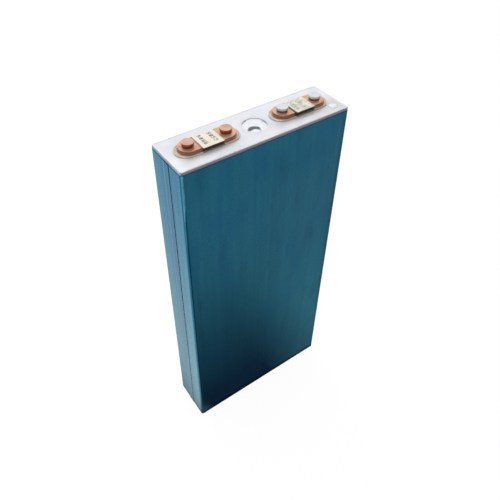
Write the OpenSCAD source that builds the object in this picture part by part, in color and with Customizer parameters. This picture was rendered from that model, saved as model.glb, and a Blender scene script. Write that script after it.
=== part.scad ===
// Prismatic battery cell: a drawn aluminium case in a blue film wrap, closed by a lid that
// carries two double-stud terminals, a burst vent and a sealed fill port. Two wound cores
// stand side by side in an insulating bag inside the case.
// Millimetres. The origin is the centre of the base, +Z is up, the negative terminal is
// at -X and the broad face at -Y is the front.

/* [Case] */
// Width of the wrapped cell, along X
cell_w = 131; // [127:1:140]
// Thickness of the wrapped cell, along Y
cell_t = 36.8; // [36:0.2:40]
// Height of the lid's top face above the base
lid_z = 276.4; // [120:0.1:320]
// Outer radius of the case's upright corners
case_r = 2; // [1.5:0.25:4]
// Wall thickness of the case
wall_t = 0.8; // [0.6:0.1:1]
// Floor thickness of the case
floor_t = 1.2; // [1:0.1:2]
// Thickness of the lid plate
lid_t = 2.4; // [2.2:0.1:3]

/* [Film] */
// Thickness of the wrap film with its adhesive
film_t = 0.2; // [0.1:0.05:0.3]
// Height of bare case left showing above the film
bare_rim_h = 2.1; // [1.5:0.1:6]
// Place along Y of the film's free edge, on the narrow side at -X
seam_y = -3.6; // [-8:0.2:0]
// Width of the film's overlap behind its free edge
seam_lap = 5.6; // [4:0.2:9]
// Thickness of the patch under the base
base_film_t = 0.3; // [0.2:0.05:0.5]

/* [Terminals] */
// Distance of each terminal from the middle of the lid
term_x = 35.8; // [35:0.1:36.5]
// Length of a terminal plate
plate_l = 40.4; // [38:0.2:43]
// Width of a terminal plate
plate_w = 14; // [12:0.5:15]
// Thickness of a terminal plate
plate_t = 2.4; // [2:0.1:3]
// Height of the plate's slightly wider foot
foot_h = 1; // [0.6:0.1:1.2]
// How far the foot stands out all round
foot_out = 0.3; // [0.1:0.05:0.4]
// Length of the gasket under a plate
gasket_l = 45.8; // [44.6:0.2:47]
// Width of that gasket
gasket_w = 16.6; // [16.4:0.1:18]
// Thickness of that gasket
gasket_t = 0.8; // [0.6:0.1:1.2]
// Distance between a terminal's two studs
stud_pitch = 27.4; // [26:0.2:29]
// Radius of a stud's head
stud_r = 4.1; // [3.4:0.1:4.3]
// Height of a stud's head above its plate
stud_h = 3; // [1.5:0.1:4]
// Radius of a stud's shank through the lid
shank_r = 3; // [2.5:0.1:3.1]
// Width of the label between the studs
label_w = 15.6; // [12:0.2:16]
// Length of the label across the plate
label_l = 14.6; // [12:0.2:15]
// How far the label hangs over the plate's front edge
label_over = 0.8; // [0:0.1:1.2]

/* [Lid fittings] */
// Radius of the vent opening
vent_r = 8.3; // [7:0.1:9.2]
// Radius of the clear film over the vent
vent_film_r = 11; // [10:0.1:11.2]
// Place along X of the fill port
fill_x = 57.6; // [57.2:0.1:58.5]
// Place along Y of the fill port
fill_y = -10.4; // [-11.5:0.1:-10]
// Radius of the fill port's weld cap
cap_r = 3; // [2.6:0.1:3.2]

/* [Wound cores] */
// Turns in each wound core
turns = 5; // [2:1:6]
// Negative strip's share of the coated thickness
anode_share = 0.47; // [0.4:0.01:0.5]
// Thickness of each separator strip
separator_t = 0.2; // [0.15:0.01:0.22]
// Gap between neighbouring strips
strip_gap = 0.04; // [0.02:0.01:0.06]

/* [Hidden] */

$fn = 96;
eps = 0.5;              // how far a cutter runs past the face it opens
NEG = -1;               // side of the negative terminal along X
POS = 1;                // side of the positive terminal along X
FRONT = -1;             // side of the front core along Y
REAR = 1;               // side of the rear core along Y
slip = 0.05;            // radial clearance of parts that are set into holes

// Case and lid
case_w = cell_w - 2 * film_t;
case_d = cell_t - 2 * film_t;
cavity_w = case_w - 2 * wall_t;
cavity_d = case_d - 2 * wall_t;
cavity_r = case_r - wall_t;
floor_z = base_film_t + floor_t;
lid_bot = lid_z - lid_t;

// Terminal stack, upwards from the lid
plate_z = lid_z + gasket_t;
plate_top = plate_z + plate_t;
label_t = 0.3;
label_y = -plate_w / 2 - label_over + label_l / 2;

// Terminal stack, downwards from the lid
seal_r = shank_r + 1.5;
insulator_l = 50;
insulator_w = 28;
insulator_t = 1;
collector_l = 39;
collector_w = 22;
collector_t = 1.2;
collector_bot = lid_bot - insulator_t - collector_t;
tail_r = 4.5;
tail_t = 0.9;

// Vent
vent_seat_r = vent_r + 1.5;
vent_lip_t = 0.6;       // thickness of lid left over the vent's flange
vent_seat_t = lid_t - vent_lip_t;
vent_flange_t = 0.8;
vent_flange_w = 2;
vent_skin_t = 0.3;
vent_dome_r = 90;
vent_score_r = vent_seat_r - vent_flange_w - 0.9;
vent_score_w = 0.5;
vent_score_t = 0.12;
vent_film_t = 0.1;

// Fill port
fill_hole_r = 1.6;
fill_path_r = 2.2;      // hole through the insulator below the port
plug_out = 0.3;         // how far the plug comes through the lid
cap_t = 0.7;
cap_seat_t = 0.6;

// Inside the case
bag_gap = 0.1;
bag_t = 0.2;
bag_w = cavity_w - 2 * bag_gap;
bag_d = cavity_d - 2 * bag_gap;
bag_r = cavity_r - bag_gap;
tray_t = 1.5;
tray_w = bag_w - 2 * bag_t - 2 * bag_gap;
tray_d = bag_d - 2 * bag_t - 2 * bag_gap;
core_z = floor_z + bag_t + tray_t;
core_top = lid_z - 14;
separator_h = core_top - core_z;
anode_margin = 2;       // how far the separators stand past the negative strip
cathode_margin = 3;     // and past the positive strip
tape_h = 30;
tape_t = 0.15;

// Winding: two cores share the bag's depth, and each core's pitch fills its half.
// From the inside the strips lie in the order separator, negative, separator, positive.
// Sizes along a strip are kept to whole hundredths, so that its bends and flats meet.
function whole(x, step) = floor(x / step + 0.001) * step;
core_y = (bag_d - 2 * bag_t) / 4;
core_r = 0.5;
core_half = core_y - tape_t - 2 * strip_gap;
layer_pitch = whole((core_half - core_r - separator_t) / (turns + 0.5), 0.02);
coated_t = layer_pitch - 2 * separator_t - 4 * strip_gap;
anode_t = whole(anode_share * coated_t, 0.01);
cathode_t = coated_t - anode_t;
anode_in = core_r + separator_t + strip_gap;
outer_separator_in = anode_in + anode_t + strip_gap;
cathode_in = outer_separator_in + separator_t + strip_gap;
flat_half = whole(tray_w / 2 - core_half, 0.5);
tab_w = 17;
tab_t = 0.5;
tab_reach = 7;

// Outline of the case and of what fits round it or in it
module rounded_rect(w, d, r) {
    square([w - 2 * r, d], center = true);
    square([w, d - 2 * r], center = true);
    for (sx = [-1, 1], sy = [-1, 1])
        translate([sx * (w / 2 - r), sy * (d / 2 - r)]) circle(r);
}

// Slot outline with full round ends
module obround(l, w) {
    square([l - w, w], center = true);
    for (s = [-1, 1]) translate([s * (l - w) / 2, 0]) circle(w / 2);
}

module slab(z, h) {
    translate([0, 0, z]) linear_extrude(h) children();
}

// Repeats its children at the two studs of the terminal on one side
module at_studs(side) {
    for (s = [-1, 1]) translate([side * term_x + s * stud_pitch / 2, 0, 0]) children();
}

module stud_holes(side, r) {
    at_studs(side) translate([0, 0, collector_bot - eps]) cylinder(r = r, h = plate_top);
}

module case_shell() {
    color("silver") difference() {
        slab(base_film_t, lid_z - base_film_t) rounded_rect(case_w, case_d, case_r);
        slab(floor_z, lid_z) rounded_rect(cavity_w, cavity_d, cavity_r);
    }
}

module wrap_film() {
    color("steelblue") {
        difference() {
            slab(0, lid_z - bare_rim_h) rounded_rect(cell_w, cell_t, case_r + film_t);
            slab(-eps, lid_z) rounded_rect(case_w, case_d, case_r);
        }
        translate([-cell_w / 2 - film_t, seam_y, 0])
            cube([film_t, seam_lap, lid_z - bare_rim_h]);
    }
}

module base_film() {
    color("lightblue") slab(0, base_film_t) rounded_rect(case_w, case_d, case_r);
}

module lid() {
    color("gainsboro") difference() {
        slab(lid_bot, lid_t) rounded_rect(cavity_w - slip, cavity_d - slip, cavity_r);
        translate([0, 0, lid_bot - eps]) cylinder(r = vent_r, h = lid_t + 2 * eps);
        translate([0, 0, lid_bot - eps]) cylinder(r = vent_seat_r + slip, h = vent_seat_t + eps);
        translate([fill_x, fill_y, lid_bot - eps]) cylinder(r = fill_hole_r, h = lid_t + 2 * eps);
        translate([fill_x, fill_y, lid_z - cap_seat_t]) cylinder(r = cap_r + slip, h = lid_t);
        for (side = [NEG, POS]) stud_holes(side, seal_r + slip);
    }
}

// Flat flange with a scored skin domed outwards, turned from one profile
module vent_disc() {
    skin_r = vent_seat_r - vent_flange_w;
    score_z = sqrt(pow(vent_dome_r, 2) - pow(vent_score_r, 2)) - vent_dome_r - vent_score_t;
    color("white") translate([0, 0, lid_bot + vent_seat_t]) rotate_extrude() {
        translate([skin_r, -vent_flange_t]) square([vent_flange_w, vent_flange_t]);
        difference() {
            intersection() {
                translate([0, -vent_flange_t - eps]) square([skin_r + slip, 2]);
                translate([0, -vent_dome_r]) difference() {
                    circle(vent_dome_r, $fn = 720);
                    circle(vent_dome_r - vent_skin_t, $fn = 720);
                }
            }
            translate([vent_score_r, score_z]) square([vent_score_w, eps]);
        }
    }
}

module vent_cover_film() {
    color("azure") translate([0, 0, lid_z]) cylinder(r = vent_film_r, h = vent_film_t);
}

module fill_plug() {
    plug_bot = lid_bot - plug_out;
    color("dimgray") translate([fill_x, fill_y, plug_bot])
        cylinder(r = fill_hole_r - slip, h = lid_z - cap_seat_t - plug_bot);
}

module fill_cap() {
    color("gainsboro") translate([fill_x, fill_y, lid_z - cap_seat_t])
        cylinder(r = cap_r, h = cap_t);
}

module gasket(side) {
    color("antiquewhite") difference() {
        slab(lid_z, gasket_t) translate([side * term_x, 0]) obround(gasket_l, gasket_w);
        stud_holes(side, shank_r + slip);
    }
}

module terminal_plate(side) {
    color("sandybrown") difference() {
        union() {
            slab(plate_z, plate_t) translate([side * term_x, 0]) obround(plate_l, plate_w);
            slab(plate_z, foot_h) translate([side * term_x, 0])
                obround(plate_l + 2 * foot_out, plate_w + 2 * foot_out);
        }
        stud_holes(side, shank_r + slip);
    }
}

// Each stud is a rivet: head on the plate, shank through the lid, tail under the collector
module studs(side, finish) {
    color(finish) at_studs(side) {
        translate([0, 0, plate_top]) cylinder(r = stud_r, h = stud_h);
        translate([0, 0, collector_bot]) cylinder(r = shank_r, h = plate_top - collector_bot);
        translate([0, 0, collector_bot - tail_t]) cylinder(r = tail_r, h = tail_t);
    }
}

module terminal_label(side) {
    color("ivory") translate([side * term_x, label_y, plate_top + label_t / 2])
        cube([label_w, label_l, label_t], center = true);
}

module seal_rings(side) {
    color("dimgray") at_studs(side) translate([0, 0, lid_bot]) difference() {
        cylinder(r = seal_r, h = lid_t);
        translate([0, 0, -eps]) cylinder(r = shank_r + slip, h = lid_t + 2 * eps);
    }
}

module lower_insulator(side) {
    color("whitesmoke") difference() {
        slab(lid_bot - insulator_t, insulator_t)
            translate([side * term_x, 0]) rounded_rect(insulator_l, insulator_w, 2);
        stud_holes(side, shank_r + slip);
        translate([fill_x, fill_y, collector_bot]) cylinder(r = fill_path_r, h = lid_z - collector_bot);
    }
}

module collector(side, finish) {
    color(finish) difference() {
        slab(collector_bot, collector_t)
            translate([side * term_x, 0]) rounded_rect(collector_l, collector_w, 1.5);
        stud_holes(side, shank_r + slip);
    }
}

// Foil tabs rise from both cores and fold inwards under the collector
module tabs(side, finish) {
    foot_z = core_top - anode_margin;
    color(finish) for (s = [FRONT, REAR])
        translate([side * term_x - tab_w / 2, s * core_y - tab_t / 2, 0]) {
            translate([0, 0, foot_z]) cube([tab_w, tab_t, collector_bot - foot_z]);
            translate([0, s > 0 ? tab_t - tab_reach : 0, collector_bot - tab_t])
                cube([tab_w, tab_reach, tab_t]);
        }
}

module core_bag() {
    color("azure") difference() {
        slab(floor_z, core_top + 4 - floor_z) rounded_rect(bag_w, bag_d, bag_r);
        slab(floor_z + bag_t, lid_z)
            rounded_rect(bag_w - 2 * bag_t, bag_d - 2 * bag_t, bag_r - bag_t);
    }
}

module core_tray() {
    drain_r = 3;
    drain_pitch = 20;
    color("whitesmoke") translate([0, 0, floor_z + bag_t]) difference() {
        linear_extrude(tray_t) rounded_rect(tray_w, tray_d, bag_r - bag_t);
        for (i = [-2 : 2]) translate([i * drain_pitch, 0, -eps])
            cylinder(r = drain_r, h = tray_t + 2 * eps);
    }
}

// Half of a ring: the bend of a strip at one end of a wound core, on the side given
module bend(side, r, t) {
    intersection() {
        difference() {
            circle(r + t);
            circle(r);
        }
        translate([side > 0 ? 0 : -2 * r - t, -r - t]) square([2 * r + t, 2 * (r + t)]);
    }
}

// One strip wound flat. It starts r_in from the middle plane, and each half turn goes out
// by half a layer pitch, so its bends are centred half a step off the middle plane.
module wound_strip(r_in, t, half_turns) {
    step = layer_pitch / 2;
    for (k = [0 : half_turns]) {
        out = k % 2 == 0 ? 1 : -1;
        r = r_in + k * step;
        translate([-flat_half, out > 0 ? r : -r - t]) square([2 * flat_half, t]);
        if (k < half_turns) translate([out * flat_half, -out * step / 2])
            bend(out, r + step / 2, t);
    }
}

module core_place(side, z, h) {
    translate([0, side * core_y, z]) linear_extrude(h) children();
}

module core_anode(side) {
    color("dimgray") core_place(side, core_z + anode_margin, separator_h - 2 * anode_margin)
        wound_strip(anode_in, anode_t, 2 * turns);
}

module core_cathode(side) {
    color("darkslategray")
        core_place(side, core_z + cathode_margin, separator_h - 2 * cathode_margin)
            wound_strip(cathode_in, cathode_t, 2 * turns - 1);
}

// The inner separator is wound one turn longer and covers the positive strip's end
module core_separators(side) {
    color("white") core_place(side, core_z, separator_h) {
        wound_strip(core_r, separator_t, 2 * turns + 1);
        wound_strip(outer_separator_in, separator_t, 2 * turns);
    }
}

module core_tapes() {
    inner = core_half + strip_gap;
    color("seagreen") for (side = [FRONT, REAR])
        core_place(side, core_z + separator_h / 2 - tape_h / 2, tape_h) difference() {
            obround(2 * (flat_half + inner + tape_t), 2 * (inner + tape_t));
            obround(2 * (flat_half + inner), 2 * inner);
        }
}

case_shell();  // case
wrap_film();
base_film();
lid();
vent_disc();
vent_cover_film();
fill_plug();
fill_cap();
gasket(NEG);  // negative_gasket
terminal_plate(NEG);  // negative_terminal_plate
studs(NEG, "peru");  // negative_studs
terminal_label(NEG);  // negative_label
seal_rings(NEG);  // negative_seal_rings
lower_insulator(NEG);  // negative_lower_insulator
collector(NEG, "peru");  // negative_collector
tabs(NEG, "peru");  // negative_tabs
gasket(POS);  // positive_gasket
terminal_plate(POS);  // positive_terminal_plate
studs(POS, "silver");  // positive_studs
terminal_label(POS);  // positive_label
seal_rings(POS);  // positive_seal_rings
lower_insulator(POS);  // positive_lower_insulator
collector(POS, "silver");  // positive_collector
tabs(POS, "silver");  // positive_tabs
core_bag();
core_tray();
core_anode(FRONT);  // front_core_anode
core_cathode(FRONT);  // front_core_cathode
core_separators(FRONT);  // front_core_separators
core_anode(REAR);  // rear_core_anode
core_cathode(REAR);  // rear_core_cathode
core_separators(REAR);  // rear_core_separators
core_tapes();
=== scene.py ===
"""Looks of a prismatic battery cell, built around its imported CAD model. Metres, +Z up."""
import math

import bpy
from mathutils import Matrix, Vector, noise


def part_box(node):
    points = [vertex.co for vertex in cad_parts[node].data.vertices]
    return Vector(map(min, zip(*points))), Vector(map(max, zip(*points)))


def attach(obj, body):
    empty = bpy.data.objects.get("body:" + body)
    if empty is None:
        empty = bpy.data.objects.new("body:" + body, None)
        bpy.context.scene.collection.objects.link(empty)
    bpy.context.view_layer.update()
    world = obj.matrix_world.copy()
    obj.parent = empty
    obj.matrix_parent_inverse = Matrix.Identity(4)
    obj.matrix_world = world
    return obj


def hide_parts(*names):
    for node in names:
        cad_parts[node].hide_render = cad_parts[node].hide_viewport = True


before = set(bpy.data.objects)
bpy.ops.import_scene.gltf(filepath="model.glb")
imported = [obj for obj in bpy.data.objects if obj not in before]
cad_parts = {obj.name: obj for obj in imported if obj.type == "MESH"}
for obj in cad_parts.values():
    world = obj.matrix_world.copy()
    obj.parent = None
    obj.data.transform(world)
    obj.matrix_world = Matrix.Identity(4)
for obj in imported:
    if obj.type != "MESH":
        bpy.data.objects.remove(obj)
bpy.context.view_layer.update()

MM = 0.001
BODY = "root"

# Places and sizes taken from the CAD nodes
FILM_LO, FILM_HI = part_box("wrap_film")
CASE_LO, CASE_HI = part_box("case")
LID_LO, LID_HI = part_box("lid")
VENT_LO, VENT_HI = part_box("vent_disc")
COVER_LO, COVER_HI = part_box("vent_cover_film")
CAP_LO, CAP_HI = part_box("fill_cap")
BASE_LO, BASE_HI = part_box("base_film")

CASE_W = CASE_HI.x - CASE_LO.x
CASE_D = CASE_HI.y - CASE_LO.y
CASE_R = 2.0 * MM
WALL_T = 0.8 * MM
LID_TOP = LID_HI.z
FILM_T = FILM_HI.x - CASE_HI.x
STUD_HEAD_R = 4.1 * MM
STUD_SHANK_R = 3.0 * MM
PLATE_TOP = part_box("positive_terminal_plate")[1].z

# The film's lap on the narrow side at -X: its free edge, and where the film under it ends
FILM_LEFT = FILM_LO.x + FILM_T
SEAM_Y = -3.6 * MM
LAP_END_Y = 2.0 * MM

# Heights where the film's painted highlight at the front corner at -X starts and is widest
HIGHLIGHT_LOW = 205 * MM
HIGHLIGHT_WIDEST = 262 * MM

# The vent skin, in mm: its dent lies towards the camera, which is turned this far from -Y
VENT_TURN = math.radians(34.5)
VENT_OPENING_R = 8.3
VENT_SCORE_R = 6.9
DENT_AT = (0.2, 5.15)
DENT_R = 5.0
DENT_SLOPE_W = 2.3
DENT_DEPTH = 1.5


# ---------------------------------------------------------------- mesh building

def outline(w, d, r, corner_steps=8, long_steps=1, short_steps=1, centre=(0.0, 0.0)):
    """Points and outward normals round a rounded rectangle, anticlockwise from its +X, -Y corner."""
    cx, cy = centre
    corners = [(w / 2 - r, r - d / 2, -90), (w / 2 - r, d / 2 - r, 0),
               (r - w / 2, d / 2 - r, 90), (r - w / 2, r - d / 2, 180)]
    points = []
    for k, (x, y, start) in enumerate(corners):
        for i in range(corner_steps + 1):
            a = math.radians(start + 90 * i / corner_steps)
            n = Vector((math.cos(a), math.sin(a), 0))
            points.append((Vector((cx + x, cy + y, 0)) + n * r, n))
        x2, y2 = corners[(k + 1) % 4][:2]
        p = points[-1][0]
        n = points[-1][1]
        q = Vector((cx + x2, cy + y2, 0)) + n * r
        steps = short_steps if k % 2 == 0 else long_steps
        if (q - p).length < 1e-7:
            points.pop()
            continue
        for i in range(1, steps):
            points.append((p.lerp(q, i / steps), n))
    return points


def obround(l, w, centre, steps=24):
    """Outline of a slot with full round ends, along X."""
    return outline(l, w, w / 2, corner_steps=steps, long_steps=4, centre=centre)


def loft(rings, cap_first=True, cap_last=True):
    """Quads between closed rings of equal length, with a face at each end where asked."""
    count = len(rings[0])
    verts = [tuple(v) for ring in rings for v in ring]
    faces = []
    for j in range(len(rings) - 1):
        for i in range(count):
            a = j * count + i
            b = j * count + (i + 1) % count
            faces.append((a, b, b + count, a + count))
    if cap_first:
        faces.append(tuple(reversed(range(count))))
    if cap_last:
        start = (len(rings) - 1) * count
        faces.append(tuple(range(start, start + count)))
    return verts, faces


def sweep(path, profile):
    """Lofts a path through a profile of (offset along the normal, height) pairs."""
    return loft([[p + n * off + Vector((0, 0, z)) for p, n in path] for off, z in profile])


def arc_profile(z0, z1, r_low, r_high):
    """Profile of a plate from z0 to z1 with rounded lower and upper edges."""
    steps = 4
    angles = [math.radians(90 * i / steps) for i in range(steps + 1)]
    low = [(-r_low * (1 - math.sin(a)), z0 + r_low * (1 - math.cos(a))) for a in angles]
    high = [(-r_high * (1 - math.cos(a)), z1 - r_high * (1 - math.sin(a))) for a in angles]
    return low + high


def turned(profile, x, y, steps=96):
    """A profile of (radius, height) pairs turned about an upright axis. It starts on the axis at the
    top, goes down the outside and ends on the axis."""
    verts = [(x, y, profile[0][1])]
    faces = []
    rows = profile[1:-1]
    for r, z in rows:
        for i in range(steps):
            a = 2 * math.pi * i / steps
            verts.append((x + r * math.cos(a), y + r * math.sin(a), z))
    verts.append((x, y, profile[-1][1]))
    end = len(verts) - 1
    for i in range(steps):
        faces.append((1 + i, 1 + (i + 1) % steps, 0))
    for j in range(len(rows) - 1):
        for i in range(steps):
            a = 1 + j * steps + i
            b = 1 + j * steps + (i + 1) % steps
            faces.append((a + steps, b + steps, b, a))
    last = 1 + (len(rows) - 1) * steps
    for i in range(steps):
        faces.append((end, last + (i + 1) % steps, last + i))
    return verts, faces


def clamp(v):
    return max(0.0, min(1.0, v))


def piece(name, shells, materials, replaces, sharp=32):
    """One visible object from one or more closed shells."""
    verts = []
    faces = []
    for shell_verts, shell_faces in shells:
        base = len(verts)
        verts += shell_verts
        faces += [tuple(base + i for i in f) for f in shell_faces]
    mesh = bpy.data.meshes.new(name)
    mesh.from_pydata(verts, [], faces)
    mesh.validate()
    for m in materials:
        mesh.materials.append(m)
    return finish_piece(bpy.data.objects.new(name, mesh), replaces, sharp)


def finish_piece(obj, replaces, sharp=32):
    """Links the object, shades it smooth up to the sharp angle and fixes it to the cell."""
    obj.data.shade_smooth()
    obj.data.set_sharp_from_angle(angle=math.radians(sharp))
    bpy.context.scene.collection.objects.link(obj)
    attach(obj, BODY)
    if replaces:
        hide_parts(*replaces)
    return obj


# ---------------------------------------------------------------- materials

class Nodes:
    """A material's node tree, with short calls for the nodes that the looks use."""

    def __init__(self, name, **inputs):
        self.material = bpy.data.materials.new(name)
        self.material.use_nodes = True
        self.tree = self.material.node_tree
        self.shader = self.tree.nodes["Principled BSDF"]
        self.place = self.add("ShaderNodeTexCoord").outputs["Object"]
        for key, value in inputs.items():
            self.shader.inputs[key.replace("_", " ")].default_value = value

    def add(self, kind, **settings):
        node = self.tree.nodes.new(kind)
        for key, value in settings.items():
            setattr(node, key, value)
        return node

    def link(self, source, target):
        self.tree.links.new(source, target)
        return source

    def value(self, target, v):
        """Feeds an input from another node's output or with a plain value."""
        if hasattr(v, "is_output"):
            self.link(v, target)
        else:
            target.default_value = v

    def noise(self, size_mm, stretch=(1, 1, 1), detail=3.0, rough=0.55):
        """Noise with features of about size_mm, longer along an axis whose stretch is over 1."""
        mapping = self.add("ShaderNodeMapping")
        self.link(self.place, mapping.inputs["Vector"])
        mapping.inputs["Scale"].default_value = [1 / (size_mm * MM * s) for s in stretch]
        node = self.add("ShaderNodeTexNoise")
        self.link(mapping.outputs["Vector"], node.inputs["Vector"])
        node.inputs["Scale"].default_value = 1.0
        node.inputs["Detail"].default_value = detail
        node.inputs["Roughness"].default_value = rough
        return node.outputs["Fac"]

    def range(self, fac, low, high, lo=0.0, hi=1.0):
        node = self.add("ShaderNodeMapRange", clamp=True)
        self.value(node.inputs["Value"], fac)
        for key, v in (("From Min", low), ("From Max", high), ("To Min", lo), ("To Max", hi)):
            node.inputs[key].default_value = v
        return node.outputs["Result"]

    def times(self, *factors):
        result = factors[0]
        for factor in factors[1:]:
            result = self.math("MULTIPLY", result, factor)
        return result

    def math(self, operation, a, b=0.0, c=0.0):
        node = self.add("ShaderNodeMath", operation=operation)
        for target, v in zip(node.inputs, (a, b, c)):
            self.value(target, v)
        return node.outputs["Value"]

    def mix(self, fac, a, b):
        node = self.add("ShaderNodeMix", data_type="RGBA")
        self.value(node.inputs["Factor"], fac)
        for target, colour in ((node.inputs[6], a), (node.inputs[7], b)):
            self.value(target, colour if hasattr(colour, "is_output") else rgba(colour))
        return node.outputs[2]

    def axes(self):
        """The place's X, Y and Z, in metres."""
        split = self.add("ShaderNodeSeparateXYZ")
        self.link(self.place, split.inputs[0])
        return [split.outputs[k] for k in "XYZ"]

    def upright(self):
        """1 on walls and 0 on flat tops."""
        split = self.add("ShaderNodeSeparateXYZ")
        self.link(self.add("ShaderNodeNewGeometry").outputs["Normal"], split.inputs[0])
        return self.range(self.math("ABSOLUTE", split.outputs["Z"]), 0.75, 0.35)

    def painted_label_shadow(self, side, front, edge):
        """Painted shadow of the label: the given share under its front edge, and a painted shaded line
        of the given share along its edge at -X."""
        lo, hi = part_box(f"{side}_label")
        x, y, z = self.axes()
        half = (hi.x - lo.x) / 2
        across = self.band(x, (lo.x + hi.x) / 2, half + 0.2 * MM, half - 0.3 * MM)
        ahead = self.range(y, lo.y + 1.1 * MM, lo.y + 0.8 * MM)
        below = self.range(z, lo.z, lo.z - 0.2 * MM)
        beside = self.band(x, lo.x, 1.0 * MM, 0.6 * MM, edge)
        return self.math("MAXIMUM", self.times(across, ahead, below, front), beside)

    def band(self, value, middle, outer, inner, strength=1.0):
        """The given strength within the inner distance of the middle, and 0 past the outer one."""
        off = self.math("ABSOLUTE", self.math("SUBTRACT", value, middle))
        return self.range(off, outer, inner, 0.0, strength)

    def bump(self, height, depth_mm, normal=None):
        node = self.add("ShaderNodeBump")
        node.inputs["Distance"].default_value = depth_mm * MM
        self.link(height, node.inputs["Height"])
        if normal is not None:
            self.link(normal, node.inputs["Normal"])
        return node.outputs["Normal"]

    def set(self, **inputs):
        """Links or sets the shader's inputs and gives the finished material."""
        for key, v in inputs.items():
            self.value(self.shader.inputs[key.replace("_", " ")], v)
        return self.material


def rgba(colour):
    """A colour with its alpha, which is 1 where none is given."""
    return (*colour, 1.0) if len(colour) == 3 else tuple(colour)


def film_material(name, deep, light, metallic=1.0, marks_and_light=True):
    """Blue film drawn tight over bright metal: it mirrors the room, tinted, with drawn streaks."""
    n = Nodes(name, IOR=1.46)
    streaks = n.noise(4, stretch=(1, 1, 45), detail=5, rough=0.65)
    clouds = n.noise(60, stretch=(1, 1, 2), detail=2)
    fac = n.math("ADD", n.range(streaks, 0.3, 0.7, 0.0, 0.6), n.range(clouds, 0.35, 0.65, 0.0, 0.4))
    drawn = n.noise(0.9, stretch=(1, 1, 90), detail=2)
    swell = n.noise(7, stretch=(1, 1, 12), detail=2)
    dust = n.noise(2.2, detail=4, rough=0.6)
    normal = n.bump(drawn, 0.003)
    normal = n.bump(swell, 0.05, normal=normal)
    base = n.mix(fac, deep, light)
    # The painted highlight also lowers how much the film mirrors
    pale = 0.0
    if marks_and_light:
        base, pale = film_marks_and_light(n, base)
    return n.set(Base_Color=base, Normal=normal, Metallic=n.math("SUBTRACT", metallic, pale),
                 Roughness=n.range(dust, 0.35, 0.75, 0.25, 0.32))


def film_marks_and_light(n, base):
    """Marks of wrapping and handling, with painted shade, a painted reflection and a painted highlight,
    and how strong the painted highlight is at each place.
    """
    base = film_smudges(n, base)
    base = film_dark_edges(n, base)
    base = film_left_side(n, base)
    return film_corner_highlight(n, base)


def film_smudges(n, base):
    smudge = n.noise(13, stretch=(1, 1, 3.5), detail=4, rough=0.6)
    base = n.mix(n.range(smudge, 0.52, 0.70, 0.0, 0.55), base, FILM_SMUDGE)
    vivid = n.noise(24, stretch=(1, 0.35, 2.5), detail=3)
    return n.mix(n.range(vivid, 0.50, 0.68, 0.0, 0.55), base, FILM_VIVID)


def film_dark_edges(n, base):
    """Darkens the front face unevenly towards its edge at +X, and paints a ragged dark foot all the way
    round: a painted contact shadow.
    """
    x, y, z = n.axes()
    edge_noise = n.noise(3.5, stretch=(1, 1, 3), detail=4, rough=0.65)
    at_right = n.range(x, FILM_HI.x - 6.0 * MM, FILM_HI.x - 1.2 * MM)
    in_front = n.range(y, FILM_LO.y + 2.0 * MM, FILM_LO.y + 0.5 * MM)
    edge = n.times(at_right, n.range(edge_noise, 0.35, 0.60, 0.25, 0.75), in_front)
    base = n.mix(edge, base, FILM_DARK)
    # Painted contact shadow along the base
    foot = n.range(n.math("MULTIPLY_ADD", edge_noise, -7 * MM, z), 3.0 * MM, -0.5 * MM, 0.0, 0.95)
    return n.mix(foot, base, FILM_CONTACT_SHADE)


def film_left_side(n, base):
    """The narrow side at -X: deeper and lighter stripes, deeper behind the seam towards the top, a
    painted reflection lighter towards the rear, painted shade along the lap's edge and on the
    bend, and a dark line along a crease.
    """
    x, y, z = n.axes()
    on_left = n.range(x, FILM_LEFT + 0.4 * MM, FILM_LEFT + 0.2 * MM)
    behind_seam = n.range(y, SEAM_Y, SEAM_Y + 1.5 * MM)
    deep = n.times(behind_seam, n.range(y, 8.0 * MM, 5.0 * MM), n.range(z, 0.10, 0.20, 0.1, 0.8))
    base = n.mix(n.times(on_left, deep), base, FILM_DEEP)
    pulled = n.noise(1.3, stretch=(1, 1, 60), detail=2)
    base = n.mix(n.times(on_left, n.range(pulled, 0.46, 0.64, 0.0, 0.4)), base, FILM_DEEP)
    # Lighter stripes, and a painted reflection lighter towards the rear
    sheen = n.noise(2.8, stretch=(1, 1, 34), detail=3)
    rear = n.range(y, 7.0 * MM, 12.0 * MM, 0.0, 0.55)
    gloss = n.math("MAXIMUM", n.range(sheen, 0.48, 0.64, 0.0, 0.65), rear)
    base = n.mix(n.times(on_left, gloss), base, FILM_SHEEN)
    # Painted shade on the bend at the front
    bend = n.times(n.range(x, FILM_LEFT + 2.0 * MM, FILM_LEFT + 1.0 * MM, 0.0, 0.45),
                   n.range(y, FILM_LO.y + 2.3 * MM, FILM_LO.y + 1.5 * MM))
    base = n.mix(bend, base, FILM_DARK)
    # Painted shade along the lap's edge and a dark line along a crease, both stronger higher up
    seam = n.band(y, SEAM_Y - 0.15 * MM, 0.7 * MM, 0.2 * MM)
    crease = n.band(y, SEAM_Y + 2.9 * MM, 0.6 * MM, 0.1 * MM, 0.45)
    fade = n.range(z, 0.03, 0.17, 0.15, 0.75)
    return n.mix(n.times(n.math("MAXIMUM", seam, crease), fade, on_left), base, FILM_DARK)


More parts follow.
